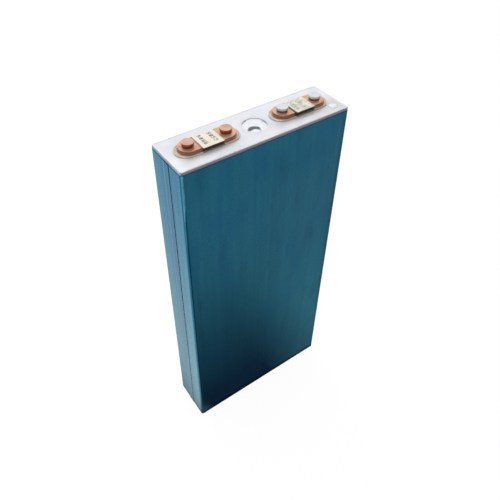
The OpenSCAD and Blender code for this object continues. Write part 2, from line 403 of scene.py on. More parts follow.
def film_corner_highlight(n, base):
    """A painted highlight at the top of the front face's edge at -X, wider towards the top."""
    x, y, z = n.axes()
    ragged = n.noise(3, stretch=(1, 1, 8), detail=3)
    width = n.times(n.range(z, HIGHLIGHT_LOW, HIGHLIGHT_WIDEST, 0.2 * MM, 1.7 * MM),
                    n.range(ragged, 0.2, 0.7, 0.6, 1.2))
    from_edge = n.math("SUBTRACT", x, FILM_LEFT)
    inside = n.range(n.math("SUBTRACT", from_edge, width), 0.3 * MM, -0.3 * MM)
    at_front = n.range(y, FILM_LO.y + 1.0 * MM, FILM_LO.y + 0.4 * MM)
    high = n.range(z, HIGHLIGHT_LOW, HIGHLIGHT_LOW + 20 * MM)
    pale = n.times(inside, at_front, high, n.range(ragged, 0.3, 0.6, 0.30, 0.75))
    return n.mix(pale, base, FILM_HIGHLIGHT), pale


def metal_material(name, colour, worn, rough, grain_mm=0.35, stretch=(12, 1, 1), patch_mm=9,
                   walls=None, side=None, metallic=1.0, edge=0.0, edge_shade=None, foot=None, ends=None,
                   flat_metallic=None):
    """Metal with a ground or drawn grain, slow colour patches and uneven polish. Its walls may get a
    painted shade, and the part that a label's edge hangs over a painted shadow. A painted shade may
    darken it down towards a height, a foot tints it below a height, its two ends along X may get
    painted light and shade, and its flat tops may mirror less."""
    n = Nodes(name)
    patches = n.noise(patch_mm, detail=4, rough=0.6)
    grain = n.noise(grain_mm, stretch=stretch, detail=3)
    pits = n.noise(0.22, detail=2)
    fac = n.math("MULTIPLY_ADD", n.range(patches, 0.35, 0.7), 0.7, n.range(grain, 0.4, 0.7, 0, 0.3))
    rough_fac = n.math("ADD", n.range(patches, 0.3, 0.7, rough * 0.85, rough * 1.15),
                       n.range(grain, 0.3, 0.7, -0.04, 0.05))
    normal = n.bump(grain, 0.004)
    normal = n.bump(pits, 0.0024, normal=normal)
    base = n.mix(fac, colour, worn)
    # Painted shade: walls darker than flat tops
    if walls:
        base = n.mix(n.upright(), base, walls)
    # Painted shade: darker down towards the lower height
    if edge_shade:
        low, high = edge_shade
        base = n.mix(n.range(n.axes()[2], high, low, 0.0, 0.85), base, RIM_EDGE_SHADE)
    if foot:
        low, high, tint = foot
        base = n.mix(n.range(n.axes()[2], high, low, 0.0, 0.9), base, tint)
    # Painted light and shade towards the ends along X, more towards the front
    if ends:
        x, y = n.axes()[:2]
        front = n.range(y, 4 * MM, -8 * MM)
        for start, end, tint in ends:
            base = n.mix(n.times(n.range(x, start, end, 0.0, 0.7), front), base, tint)
    # Painted shadow under the label's front edge and along its edge at -X
    if side:
        base = n.mix(n.painted_label_shadow(side, 0.9, edge), base, LABEL_SHADOW)
    if flat_metallic is not None:
        metallic = n.range(n.upright(), 0.0, 1.0, flat_metallic, metallic)
    return n.set(Base_Color=base, Roughness=rough_fac, Normal=normal, Metallic=metallic)


def plastic_material(name, colour, shade, rough, translucent=0.0, side=None):
    """Moulded or cast plastic with faint mottling and a fine moulded skin. A terminal's gasket gets a
    painted shade where it faces the front and a painted shadow under the label's edge."""
    n = Nodes(name, IOR=1.5)
    mottle = n.noise(4, detail=4)
    skin = n.noise(0.3, detail=2)
    n.shader.inputs["Subsurface Weight"].default_value = translucent
    n.shader.inputs["Subsurface Radius"].default_value = (1.0, 0.7, 0.5)
    n.shader.inputs["Subsurface Scale"].default_value = 0.8 * MM
    base = n.mix(n.range(mottle, 0.35, 0.65), colour, shade)
    if side:
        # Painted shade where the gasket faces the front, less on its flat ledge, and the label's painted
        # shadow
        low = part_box(f"{side}_gasket")[0].y
        ahead = n.range(n.axes()[1], low + 2.2 * MM, low + 0.4 * MM, 0.0, 0.55)
        ledge = GASKET_LEDGE_SHADE[side]
        base = n.mix(n.times(ahead, n.range(n.upright(), 0.0, 1.0, ledge, 1.0)), base, GASKET_FRONT_SHADE)
        base = n.mix(n.painted_label_shadow(side, 0.8, 0.0), base, LABEL_SHADOW)
    return n.set(Base_Color=base,
                 Roughness=n.range(mottle, 0.3, 0.7, rough * 0.85, min(1.0, rough * 1.15)),
                 Normal=n.bump(skin, 0.004))


def clear_material(name, tint, opacity, rough=0.08):
    """Thin clear film: mostly see-through, with a mirror sheen that grows at low angles."""
    n = Nodes(name)
    output = n.tree.nodes["Material Output"]
    wrinkle = n.noise(5, detail=3)
    clear = n.add("ShaderNodeBsdfTransparent")
    clear.inputs["Color"].default_value = rgba(tint)
    sheen = n.add("ShaderNodeBsdfGlossy")
    n.link(n.range(wrinkle, 0.3, 0.7, rough * 0.6, rough * 1.6), sheen.inputs["Roughness"])
    n.link(n.bump(wrinkle, 0.05), sheen.inputs["Normal"])
    facing = n.add("ShaderNodeLayerWeight").outputs["Facing"]
    amount = n.math("MULTIPLY_ADD", n.math("POWER", facing, 4.0), 0.7, opacity)
    mixed = n.add("ShaderNodeMixShader")
    n.link(amount, mixed.inputs[0])
    n.link(clear.outputs[0], mixed.inputs[1])
    n.link(sheen.outputs[0], mixed.inputs[2])
    n.link(mixed.outputs[0], output.inputs["Surface"])
    return n.material


# Painted shadow round the labels
LABEL_SHADOW = (0.13, 0.085, 0.065)
FILM_SMUDGE = (0.014, 0.118, 0.205)
FILM_VIVID = (0.009, 0.150, 0.290)
# Dark film: painted shade on the bend and along the lap's edge, and darkening towards the front's edge
# at +X and along a crease
FILM_DARK = (0.004, 0.035, 0.062)
# Painted contact shadow at the film's base
FILM_CONTACT_SHADE = (0.001, 0.010, 0.020)
FILM_DEEP = (0.006, 0.128, 0.262)
# Painted highlight on the film's corner at -X
FILM_HIGHLIGHT = (0.20, 0.58, 0.72)
# Lighter stripes, and a painted reflection, on the side at -X
FILM_SHEEN = (0.046, 0.215, 0.310)
FILM = film_material("film_blue", (0.016, 0.150, 0.240), (0.028, 0.208, 0.320))
FILM_LAP = film_material("film_lap", (0.008, 0.110, 0.215), (0.016, 0.158, 0.285))
# Painted shade on the case's band above the film, darker towards the film's edge
RIM_EDGE_SHADE = (0.035, 0.042, 0.060)
# The case's walls get a painted shade
RIM_METAL = metal_material("case_aluminium", (0.86, 0.87, 0.90), (0.78, 0.79, 0.83), 0.45,
                           walls=(0.46, 0.49, 0.58), edge_shade=(FILM_HI.z, FILM_HI.z + 1.4 * MM))
# Painted light on the lid towards its end at -X, painted shade towards its end at +X
LID_METAL = metal_material("lid_aluminium", (0.88, 0.89, 0.92), (0.81, 0.82, 0.86), 0.42,
                           grain_mm=0.6, patch_mm=14, metallic=0.45,
                           ends=((-20 * MM, -60 * MM, (0.94, 0.97, 1.0)),
                                 (15 * MM, 62 * MM, (0.72, 0.71, 0.68))))
WELD_METAL = metal_material("weld_aluminium", (0.86, 0.86, 0.89), (0.70, 0.70, 0.73), 0.3)
FOIL = metal_material("vent_foil", (0.86, 0.89, 0.90), (0.72, 0.75, 0.77), 0.20, patch_mm=2.5)
CAP_METAL = metal_material("cap_aluminium", (0.93, 0.93, 0.96), (0.84, 0.84, 0.88), 0.4,
                           stretch=(1, 1, 1), metallic=0.6)
# The plates' walls get a painted shade, and they get the labels' painted shadow
COPPER = {side: metal_material(f"{side}_copper", (0.84, 0.51, 0.36), (0.60, 0.30, 0.17), 0.32,
                               grain_mm=0.4, stretch=(10, 1, 1), patch_mm=6, side=side,
                               walls=(0.44, 0.205, 0.125), metallic=0.8, flat_metallic=0.5,
                               edge=edge)
          for side, edge in (("negative", 0.5), ("positive", 1.0))}
# The studs' walls get a painted shade
STUD_COPPER = metal_material("stud_copper", (0.78, 0.49, 0.38), (0.52, 0.27, 0.18), 0.3,
                             stretch=(1, 1, 6), patch_mm=3.5, walls=(0.50, 0.145, 0.055),
                             flat_metallic=0.6)
STUD_ALUMINIUM = metal_material("stud_aluminium", (0.76, 0.78, 0.79), (0.62, 0.65, 0.65), 0.3,
                                stretch=(1, 1, 6), patch_mm=3, metallic=0.5, flat_metallic=0.5,
                                foot=(PLATE_TOP + 1.2 * MM, PLATE_TOP + 2.0 * MM,
                                      (0.24, 0.07, 0.03)))
# Painted shade on the gaskets' front, and the share of it their flat ledge gets
GASKET_FRONT_SHADE = (0.34, 0.31, 0.30)
GASKET_LEDGE_SHADE = {"negative": 0.35, "positive": 0.9}
GASKET = {side: plastic_material(f"{side}_gasket_plastic", (0.78, 0.70, 0.61), (0.68, 0.59, 0.50),
                                 0.4, translucent=0.15, side=side)
          for side in ("negative", "positive")}
CLEAR = clear_material("clear_film", (0.995, 0.998, 1.0), 0.02)


# ---------------------------------------------------------------- case and lid

def build_case():
    """The drawn case: rounded at the base and the rim, hollow down to its floor."""
    base_r = 1.0 * MM
    rim_r = 0.3 * MM
    floor_t = 1.2 * MM
    path = outline(CASE_W, CASE_D, CASE_R, corner_steps=12)
    profile = [(-1.2 * MM, CASE_LO.z)] + arc_profile(CASE_LO.z, CASE_HI.z, base_r, rim_r)
    profile += [(-WALL_T, CASE_HI.z), (-WALL_T, CASE_LO.z + floor_t)]
    piece("case_shell", [sweep(path, profile)], [RIM_METAL], ["case"])


def build_lid():
    """The lid plate with its holes, from filled outlines with a small bevel on every edge."""
    bevel = 0.12 * MM
    edge = outline(LID_HI.x - LID_LO.x, LID_HI.y - LID_LO.y, CASE_R - WALL_T, corner_steps=10)
    loops = [[p for p, _ in edge]]
    vent_lip = 1.5 * MM
    cap_gap = 0.12 * MM
    vent_r = (VENT_HI.x - VENT_LO.x) / 2 - vent_lip
    cap_r = (CAP_HI.x - CAP_LO.x) / 2 + cap_gap
    cap_c = (CAP_LO + CAP_HI) / 2
    steps = 96
    for cx, cy, r in ((0.0, 0.0, vent_r), (cap_c.x, cap_c.y, cap_r)):
        loops.append([Vector((cx + r * math.cos(-2 * math.pi * i / steps),
                              cy + r * math.sin(-2 * math.pi * i / steps), 0))
                      for i in range(steps)])
    curve = bpy.data.curves.new("lid_outline", "CURVE")
    curve.dimensions = "2D"
    curve.fill_mode = "BOTH"
    curve.extrude = (LID_HI.z - LID_LO.z) / 2 - bevel
    curve.bevel_depth = bevel
    curve.bevel_resolution = 2
    curve.offset = -bevel
    for loop in loops:
        spline = curve.splines.new("POLY")
        spline.points.add(len(loop) - 1)
        for point, p in zip(spline.points, loop):
            point.co = (p.x, p.y, 0, 1)
        spline.use_cyclic_u = True
    temp = bpy.data.objects.new("lid_outline", curve)
    bpy.context.scene.collection.objects.link(temp)
    temp.location.z = (LID_LO.z + LID_HI.z) / 2
    bpy.context.view_layer.update()
    graph = bpy.context.evaluated_depsgraph_get()
    mesh = bpy.data.meshes.new_from_object(temp.evaluated_get(graph))
    mesh.transform(temp.matrix_world)
    bpy.data.objects.remove(temp)
    mesh.name = "lid_plate"
    mesh.materials.clear()
    mesh.materials.append(LID_METAL)
    finish_piece(bpy.data.objects.new("lid_plate", mesh), ["lid"])


def build_weld():
    """The laser weld between lid and case: a low bead of overlapping spots."""
    half_w = 0.42 * MM
    height = 0.10 * MM
    spot = 0.9 * MM
    across = 7
    path = outline(CASE_W - 2 * WALL_T, CASE_D - 2 * WALL_T, CASE_R - WALL_T,
                   corner_steps=14, long_steps=520, short_steps=130)
    rings = []
    travelled = 0.0
    for i, (p, n) in enumerate(path):
        travelled += (p - path[i - 1][0]).length if i else 0.0
        wave = 0.5 + 0.5 * math.cos(2 * math.pi * travelled / spot)
        wobble = noise.noise(Vector((travelled / (3 * MM), 0, 0)))
        h = height * (0.75 + 0.35 * wave + 0.2 * wobble)
        ring = []
        for k in range(across):
            t = 2 * k / (across - 1) - 1
            up = Vector((0, 0, LID_TOP + h * (1 - t * t)))
            ring.append(p + n * half_w * t * (1 + 0.1 * wobble) + up)
        for t in (1, -1):
            ring.append(p + n * half_w * t * 0.8 + Vector((0, 0, LID_TOP - 0.08 * MM)))
        rings.append(ring)
    verts, faces = loft(rings, cap_first=False, cap_last=False)
    count = len(rings[0])
    start = (len(rings) - 1) * count
    for i in range(count):
        j = (i + 1) % count
        faces.append((start + i, start + j, j, i))
    piece("lid_weld", [(verts, faces)], [WELD_METAL], [])


# ---------------------------------------------------------------- film

def film_path():
    """Points along the film: (place, outward normal, lift), from under the lap all the way round."""
    step = 2.0 * MM
    ramp = 1.2 * MM
    ring = outline(CASE_W, CASE_D, CASE_R, corner_steps=12,
                   long_steps=int(CASE_W / step), short_steps=int(CASE_D / (0.6 * step)))
    left = [i for i, (p, n) in enumerate(ring) if n.x < -0.999 and p.y <= LAP_END_Y]
    start = left[0]
    ordered = ring[start:] + ring[:start]
    x = -CASE_W / 2
    normal = Vector((-1, 0, 0))
    first = (Vector((x, LAP_END_Y, 0)), normal)
    body = [first] + [q for q in ordered if (q[0] - first[0]).length > 0.3 * MM]
    path = []
    for p, n in body:
        near = n.x < -0.999 and LAP_END_Y < p.y < LAP_END_Y + ramp
        lift = FILM_T * (LAP_END_Y + ramp - p.y) / ramp if near else 0.0
        path.append((p, n, lift))
    steps = 8
    path.append((Vector((x, LAP_END_Y + 0.35 * MM, 0)), normal, FILM_T * 0.8))
    for i in range(steps + 1):
        y = LAP_END_Y + (SEAM_Y - LAP_END_Y) * i / steps
        path.append((Vector((x, y, 0)), normal, FILM_T))
    return path


def film_ripple(p, z):
    """Depth of the film's slight ripples: long upright waves with a little unevenness. They die out
    beside the seam."""
    around = p.x + p.y * 2.2
    wave = noise.noise(Vector((around / (9 * MM), z / (90 * MM), 1.7)))
    fine = noise.noise(Vector((around / (3.2 * MM), z / (45 * MM), 8.1)))
    ripple = 0.045 * MM * (0.5 + 0.5 * wave) + 0.012 * MM * (0.5 + 0.5 * fine)
    on_left = p.x < 0.01 * MM - CASE_W / 2
    return ripple * (clamp(abs(p.y - SEAM_Y) / (1.5 * MM)) if on_left else 1.0)


def film_levels():
    """Heights up the film with their insets: curled under at the base, then straight to the top."""
    curl = 0.6 * MM
    rows = 92
    angles = [math.radians(90 * i / 5) for i in range(6)]
    bend = [(curl * (1 - math.cos(a)), -curl * (1 - math.sin(a))) for a in angles]
    return bend + [(curl + (FILM_HI.z - curl) * i / rows, 0.0) for i in range(1, rows + 1)]


def film_ring(path, z, inset):
    """One level of the film: round its outer face, then back round its inner face."""
    at_top = z > FILM_HI.z - 1e-6
    outer = []
    inner = []
    for p, n, lift in path:
        ripple = 0.0 if z < 4 * MM else film_ripple(p, z)
        wander = noise.noise(Vector((p.x / (14 * MM), p.y / (14 * MM), 3.0))) * 0.12 * MM
        up = Vector((0, 0, z + wander - 0.12 * MM if at_top else z))
        outer.append(p + n * (lift + FILM_T - ripple + inset) + up)
        inner.append(p + n * (lift + 0.01 * MM + inset) + up)
    return outer + inner[::-1]


def build_film():
    path = film_path()
    rings = [film_ring(path, z, inset) for z, inset in film_levels()]
    verts, faces = loft(rings, cap_first=False, cap_last=False)
    count = len(path)
    for level in (0, len(rings) - 1):
        start = level * 2 * count
        for i in range(count - 1):
            quad = (start + i, start + i + 1, start + 2 * count - 2 - i, start + 2 * count - 1 - i)
            faces.append(tuple(reversed(quad)) if level == 0 else quad)
    film = piece("blue_film", [(verts, faces)], [FILM, FILM_LAP], ["wrap_film"])
    for polygon in film.data.polygons:
        c = polygon.center
        if c.x < -CASE_W / 2 - FILM_T * 0.5 and SEAM_Y - 0.1 * MM < c.y < LAP_END_Y + 0.1 * MM:
            polygon.material_index = 1


def build_base():
    """The folded ends of the film under the base, and the patch that covers them."""
    half_w = CASE_W / 2 - 0.4 * MM
    half_d = CASE_D / 2 - 0.4 * MM
    flap = 11 * MM
    taper = 2 * MM
    low = BASE_LO.z + 0.14 * MM
    fold = low + 0.08 * MM
    shells = []
    for s in (-1, 1):
        long_flap = [(-half_w + taper, s * half_d), (half_w - taper, s * half_d),
                     (half_w - flap, s * (half_d - flap)), (-half_w + flap, s * (half_d - flap))]
        shells.append(flap_shell(long_flap[::-s], low, fold))
        end_flap = [(s * half_w, -half_d + taper), (s * half_w, half_d - taper),
                    (s * (half_w - flap), half_d - flap), (s * (half_w - flap), -half_d + flap)]
        shells.append(flap_shell(end_flap[::s], fold, BASE_HI.z))
    piece("base_flaps", shells, [FILM_LAP], [])
    path = outline(CASE_W - 5 * MM, CASE_D - 5 * MM, 2.5 * MM, corner_steps=8)
    patch = sweep(path, arc_profile(BASE_LO.z, low - 0.01 * MM, 0.04 * MM, 0.04 * MM))
    piece("base_patch", [patch], [FILM], ["base_film"])


def flap_shell(points, z0, z1):
    return loft([[Vector((x, y, z)) for x, y in points] for z in (z0, z1)])


# ---------------------------------------------------------------- lid fittings

def vent_height(x, y):
    """Height of the vent skin over its flange: nearly flat, with a shallow dent towards the camera,
    a score line and a raised rear brim."""
    u = (x * math.cos(VENT_TURN) - y * math.sin(VENT_TURN)) / MM
    v = (-x * math.sin(VENT_TURN) - y * math.cos(VENT_TURN)) / MM
    r = math.hypot(u, v)
    dome = 0.12 * (1 - (r / VENT_OPENING_R) ** 2)
    slope = clamp((DENT_R - math.hypot(u - DENT_AT[0], v - DENT_AT[1])) / DENT_SLOPE_W)
    dent = DENT_DEPTH * slope * slope * (3 - 2 * slope) * (1 - 0.07 * max(0.0, u + 1.0))
    score = 0.05 * math.exp(-((r - VENT_SCORE_R) / 0.25) ** 2)
    crumple = 0.05 * noise.noise(Vector((u / 2.2, v / 2.2, 4.0)))
    rear = 0.50 * clamp((-v / max(r, 0.1) - 0.68) / 0.16)
    brim = clamp((r - 5.5) / 2.5)
    return (dome - dent - score + crumple + rear * brim) * MM


def build_vent():
    """A flat flange round a thin skin, which is dented on the camera's side."""
    seat = VENT_HI.z - 0.12 * MM
    skin_t = 0.25 * MM
    flange_w = 2.0 * MM
    rim_r = (VENT_HI.x - VENT_LO.x) / 2
    skin_r = rim_r - flange_w
    steps = 120
    rings = 34
    radii = [i * skin_r / rings for i in range(1, rings + 1)]
    over = [(0, seat)] + [(r, seat) for r in radii]
    flange = [(rim_r, VENT_HI.z), (rim_r, VENT_LO.z), (skin_r, VENT_LO.z)]
    under = [(r, seat - skin_t) for r in reversed(radii[:-1])] + [(0, seat - skin_t)]
    verts, faces = turned(over + flange + under, 0, 0, steps=steps)
    first_under = 1 + (len(radii) + len(flange)) * steps
    shaped = []
    for k, (x, y, z) in enumerate(verts):
        on_skin = k < 1 + len(radii) * steps or k >= first_under
        shaped.append((x, y, z + vent_height(x, y)) if on_skin else (x, y, z))
    piece("vent_disc_foil", [(shaped, faces)], [FOIL], ["vent_disc"], sharp=50)


def build_vent_film():
    """The clear film stuck over the vent, a little crowned."""
    radius = (COVER_HI.x - COVER_LO.x) / 2
    z0 = COVER_LO.z + 0.01 * MM
    z1 = COVER_HI.z
    crown = 0.05 * MM
    steps = 12
    profile = [(radius * k / steps, z1 + crown * (1 - (k / steps) ** 2)) for k in range(steps)]
    profile += [(radius - 0.05 * MM, z1), (radius, z1 - 0.04 * MM), (radius, z0), (0, z0)]
    piece("vent_film", [turned(profile, 0, 0)], [CLEAR], ["vent_cover_film"])


def build_fill_cap():
    c = (CAP_LO + CAP_HI) / 2
    r = (CAP_HI.x - CAP_LO.x) / 2
    top = CAP_HI.z
    profile = [(0, top - 0.06 * MM), (0.6 * MM, top - 0.06 * MM), (1.0 * MM, top - 0.03 * MM),
               (r - 0.5 * MM, top - 0.03 * MM), (r - 0.35 * MM, top - 0.06 * MM),
               (r - 0.15 * MM, top - 0.02 * MM), (r, top - 0.06 * MM), (r, CAP_LO.z), (0, CAP_LO.z)]
    piece("fill_port_cap", [turned(profile, c.x, c.y, steps=64)], [CAP_METAL],
          ["fill_cap"])


# ---------------------------------------------------------------- terminals

def build_gasket(side):
    lo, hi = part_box(f"{side}_gasket")
    plate_lo, plate_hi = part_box(f"{side}_terminal_plate")
    c = ((lo.x + hi.x) / 2, (lo.y + hi.y) / 2)
    path = obround(hi.x - lo.x, hi.y - lo.y, c)
    round_r = 0.3 * MM
    lip_in = (hi.y - lo.y) / 2 - (plate_hi.y - plate_lo.y) / 2 - 0.25 * MM
    profile = [(-0.5 * MM, lo.z), (-0.3 * MM, lo.z + 0.12 * MM)]
    profile += arc_profile(lo.z + 0.25 * MM, hi.z, 0.12 * MM, round_r)
    profile += [(-lip_in, hi.z), (-lip_in - 0.15 * MM, hi.z - 0.25 * MM)]
    piece(f"{side}_gasket_tray", [sweep(path, profile)], [GASKET[side]],
          [f"{side}_gasket"])


def build_plate(side):
    lo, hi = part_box(f"{side}_terminal_plate")
    c = ((lo.x + hi.x) / 2, (lo.y + hi.y) / 2)
    foot_out = 0.3 * MM
    foot_h = 1.0 * MM
    edge_r = 0.28 * MM
    path = obround(hi.x - lo.x, hi.y - lo.y, c, steps=32)
    profile = arc_profile(lo.z, lo.z + foot_h, 0.1 * MM, 0.12 * MM)
    profile += [(-foot_out - 0.04 * MM, lo.z + foot_h),
                (-foot_out - 0.1 * MM, lo.z + foot_h + 0.1 * MM)]
    profile += [(off - foot_out, z) for off, z in
                arc_profile(lo.z + foot_h + 0.25 * MM, hi.z, 0.05 * MM, edge_r)]
    piece(f"{side}_plate", [sweep(path, profile)], [COPPER[side]],
          [f"{side}_terminal_plate"])


def build_studs(side, metal):
    """Two rivets: a slightly tapered head with a shallow dimple, a shank and a flared tail."""
    lo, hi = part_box(f"{side}_studs")
    tail_r = (hi.y - lo.y) / 2
    tail_top = lo.z + 0.9 * MM
    foot_r = STUD_HEAD_R - 0.45 * MM
    neck_r = foot_r + 0.16 * MM
    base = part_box(f"{side}_terminal_plate")[1].z
    seat = base - 0.05 * MM
    top = hi.z
    dimple = top - 0.06 * MM
    edge = 0.3 * MM
    corner_r = STUD_HEAD_R - edge
    profile = [(0, dimple), (1.0 * MM, dimple), (1.2 * MM, top - 0.02 * MM), (corner_r - 0.2 * MM, top)]
    for i in range(1, 6):
        a = math.radians(90 * i / 5)
        profile.append((corner_r + edge * math.sin(a), top - edge + edge * math.cos(a)))
    profile += [(foot_r, base + 0.2 * MM), (foot_r + 0.05 * MM, base + 0.08 * MM),
                (neck_r, base + 0.01 * MM), (neck_r, seat),
                (STUD_SHANK_R, seat), (STUD_SHANK_R, tail_top),
                (tail_r - 0.1 * MM, tail_top), (tail_r, lo.z + 0.8 * MM),
                (tail_r, lo.z + 0.15 * MM), (tail_r - 0.2 * MM, lo.z), (0, lo.z)]
    shells = [turned(profile, x, 0.0, steps=72) for x in (lo.x + tail_r, hi.x - tail_r)]
    piece(f"{side}_stud_pair", shells, [metal], [f"{side}_studs"])


# The labels' marks, in mm: the size of a dark or light cell, and the distance between marks
MARK_CELL = 1.0
MARK_PITCH = 2.9

# How far each label's edge at -X is set in from its CAD node
LABEL_INSET = {"negative": 0.5 * MM, "positive": 0.7 * MM}


def label_material(side, paper, shade, ink, columns, strength, mottle_mm=5):
    """Label stock with columns of small generic marks that form no letters. A column is its middle
    along X, half its width, and its two ends along Y, in mm from the label's middle."""
    lo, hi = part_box(f"{side}_label")
    n = Nodes(f"label_{side}", IOR=1.45)
    mottle = n.noise(mottle_mm, detail=4)
    fibre = n.noise(0.4, detail=3)
    stock = n.mix(n.range(mottle, 0.35, 0.7), paper, shade)
    x, y = n.axes()[:2]
    u = n.math("DIVIDE", n.math("SUBTRACT", x, (lo.x + hi.x) / 2), MM)
    v = n.math("DIVIDE", n.math("SUBTRACT", y, (lo.y + hi.y) / 2), MM)
    grid = n.add("ShaderNodeCombineXYZ")
    n.link(n.math("FLOOR", n.math("DIVIDE", u, MARK_CELL)), grid.inputs[0])
    n.link(n.math("FLOOR", n.math("DIVIDE", v, MARK_CELL)), grid.inputs[1])
    scatter = n.add("ShaderNodeTexWhiteNoise", noise_dimensions="2D")
    n.link(grid.outputs[0], scatter.inputs["Vector"])
    marks = n.range(scatter.outputs["Value"], 0.3, 0.5, 0.15, 1.0)
    mask = 0.0
    for at, half_w, low, high in columns:
        across = n.band(u, at, half_w, half_w - 0.15)
        from_low = n.range(v, low - 0.1, low + 0.1)
        to_high = n.range(v, high + 0.1, high - 0.1)
        turn = n.times(n.math("SUBTRACT", v, low), math.pi / MARK_PITCH)
        gap = n.range(n.math("ABSOLUTE", n.math("SINE", turn)), 0.25, 0.45)
        mask = n.math("MAXIMUM", mask, n.times(across, from_low, to_high, gap))
    return n.set(Base_Color=n.mix(n.times(mask, marks, strength), stock, ink),
                 Roughness=n.range(mottle, 0.3, 0.7, 0.38, 0.55), Normal=n.bump(fibre, 0.006))


def label_lift(x, y, s, t):
    """How far the label stands off its seat: it droops at the front and lifts at both ends."""
    droop = 0.16 * MM * max(0.0, 1 - t / 0.09) ** 2
    start = 0.10 * MM * max(0.0, 1 - s / 0.12) ** 2
    end = 0.05 * MM * max(0.0, 1 - (1 - s) / 0.1) ** 2
    wave = 0.02 * MM * noise.noise(Vector((x / (5 * MM), y / (5 * MM), 2.0)))
    return start + end - droop + wave


def build_label(side, material):
    """A thin sheet, as a grid of points on its top and another on its underside."""
    lo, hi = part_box(f"{side}_label")
    lo.x += LABEL_INSET[side]
    steps = 24
    row = steps + 1
    over = []
    under = []
    for j in range(row):
        for i in range(row):
            s, t = i / steps, j / steps
            x = lo.x + (hi.x - lo.x) * s
            y = lo.y + (hi.y - lo.y) * t
            z = label_lift(x, y, s, t)
            over.append((x, y, hi.z - 0.12 * MM + z))
            under.append((x, y, lo.z + 0.02 * MM + (max(z, -0.02 * MM) if t > 0.06 else z)))
    count = row * row
    faces = []
    for j in range(steps):
        for i in range(steps):
            a = j * row + i
            b = count + a
            faces.append((a, a + 1, a + row + 1, a + row))
            faces.append((b, b + row, b + row + 1, b + 1))
    for i in range(steps):
        front = i
        back = steps * row + i
        left = i * row
        right = i * row + steps
        faces.append((front, count + front, count + front + 1, front + 1))
        faces.append((back, back + 1, count + back + 1, count + back))
        faces.append((left, left + row, count + left + row, count + left))
        faces.append((right, count + right, count + right + row, right + row))
    piece(f"{side}_label_sheet", [(over + under, faces)], [material],
          [f"{side}_label"], sharp=40)


# ---------------------------------------------------------------- inner parts keep their CAD shapes

def dress(node, material):
    """Gives a CAD node that stays visible its one material."""
    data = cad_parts[node].data
    data.materials.clear()
    data.materials.append(material)


def dress_inner_parts():
    rubber = plastic_material("seal_rubber", (0.020, 0.020, 0.021), (0.034, 0.033, 0.032), 0.6)
    white = plastic_material("insulator_plastic", (0.80, 0.80, 0.78), (0.72, 0.72, 0.70), 0.45)
    tape = film_material("core_tape", (0.03, 0.24, 0.15), (0.05, 0.32, 0.21), 0.0, marks_and_light=False)
    anode = plastic_material("anode_coating", (0.035, 0.035, 0.038), (0.055, 0.054, 0.058), 0.8)
    cathode = plastic_material("cathode_coating", (0.06, 0.065, 0.07), (0.09, 0.095, 0.10), 0.7)
    separator = plastic_material("separator_film", (0.88, 0.88, 0.87), (0.82, 0.82, 0.82), 0.5,
                                 translucent=0.1)
    copper = metal_material("inner_copper", (0.82, 0.45, 0.30), (0.66, 0.32, 0.20), 0.3)
    aluminium = metal_material("inner_aluminium", (0.84, 0.84, 0.86), (0.72, 0.72, 0.75), 0.32)
    bag = clear_material("bag_film", (0.93, 0.95, 0.96), 0.22, rough=0.2)
    dress("fill_plug", rubber)
    dress("core_bag", bag)
    dress("core_tray", white)
    dress("core_tapes", tape)
    for side, metal in (("negative", copper), ("positive", aluminium)):
        dress(f"{side}_seal_rings", rubber)
        dress(f"{side}_lower_insulator", white)
        dress(f"{side}_collector", metal)
        dress(f"{side}_tabs", metal)
    for core in ("front", "rear"):
        dress(f"{core}_core_anode", anode)
        dress(f"{core}_core_cathode", cathode)
        dress(f"{core}_core_separators", separator)


# ---------------------------------------------------------------- studio

CAMERA_AT = Vector((-0.1737, -0.2351, 0.4610))
CAMERA_AZIMUTH = -34.5
CAMERA_ELEVATION = 41.66
CAMERA_LENS = 38.2
CAMERA_SHIFT = (0.0219, -0.0751)

# The room as metal mirrors it, in degrees: a bright side with its brightness at angles away from its
# middle, and a small bright ceiling round the point straight overhead. Matt surfaces get SOFT_LEVEL.
BRIGHT_AZIMUTH = 26
BRIGHT_ELEVATION = 30
BRIGHT_STOPS = ((0, 1.15), (24, 1.15), (40, 0.36), (56, 0.10), (180, 0.03))
SOFT_LEVEL = 0.78
OVERHEAD_LEVEL = 0.8
OVERHEAD_INNER = 9
OVERHEAD_OUTER = 14

# The floor as metal mirrors it, glowing with painted light and shade: the cell's painted shadow in
# front, and beside it at -X
FRONT_SHADE = (0.040, 0.060, 0.095)
FRONT_LEFT_SHADE = (0.03, 0.05, 0.07)
FRONT_NEAR = (0.33, 0.52, 0.50)
FRONT_FAR = (0.57, 0.52, 0.53)
SIDE_NEAR = (1.08, 1.24, 1.19)
SIDE_FAR = (0.84, 1.12, 1.22)


def build_camera():
    data = bpy.data.cameras.new("camera")
    data.sensor_width = 36
    data.lens = CAMERA_LENS
    data.shift_x, data.shift_y = CAMERA_SHIFT
    data.clip_start = 0.01
    camera = bpy.data.objects.new("camera", data)
    camera.location = CAMERA_AT
    camera.rotation_euler = (math.radians(90 - CAMERA_ELEVATION), 0, math.radians(CAMERA_AZIMUTH))
    bpy.context.scene.collection.objects.link(camera)
    bpy.context.scene.camera = camera


def floor_in_front(n, x, y):
    """The floor's mirrored colour in front of the cell: a painted shadow where the cell would shade it.
    """
    shade_x = n.range(x, 12 * MM, 95 * MM)
    shade_y = n.range(y, -32 * MM, -200 * MM)
    squares = n.math("ADD", n.math("POWER", shade_x, 2.0), n.math("POWER", shade_y, 2.0))
    reach = n.math("POWER", squares, 0.5)
    lit = n.mix(n.range(y, -190 * MM, -90 * MM), FRONT_FAR, FRONT_NEAR)
    front = n.mix(n.range(reach, 0.0, 1.0), FRONT_SHADE, lit)
    return n.mix(n.range(x, -60 * MM, -110 * MM, 0.0, 0.6), front, FRONT_LEFT_SHADE)


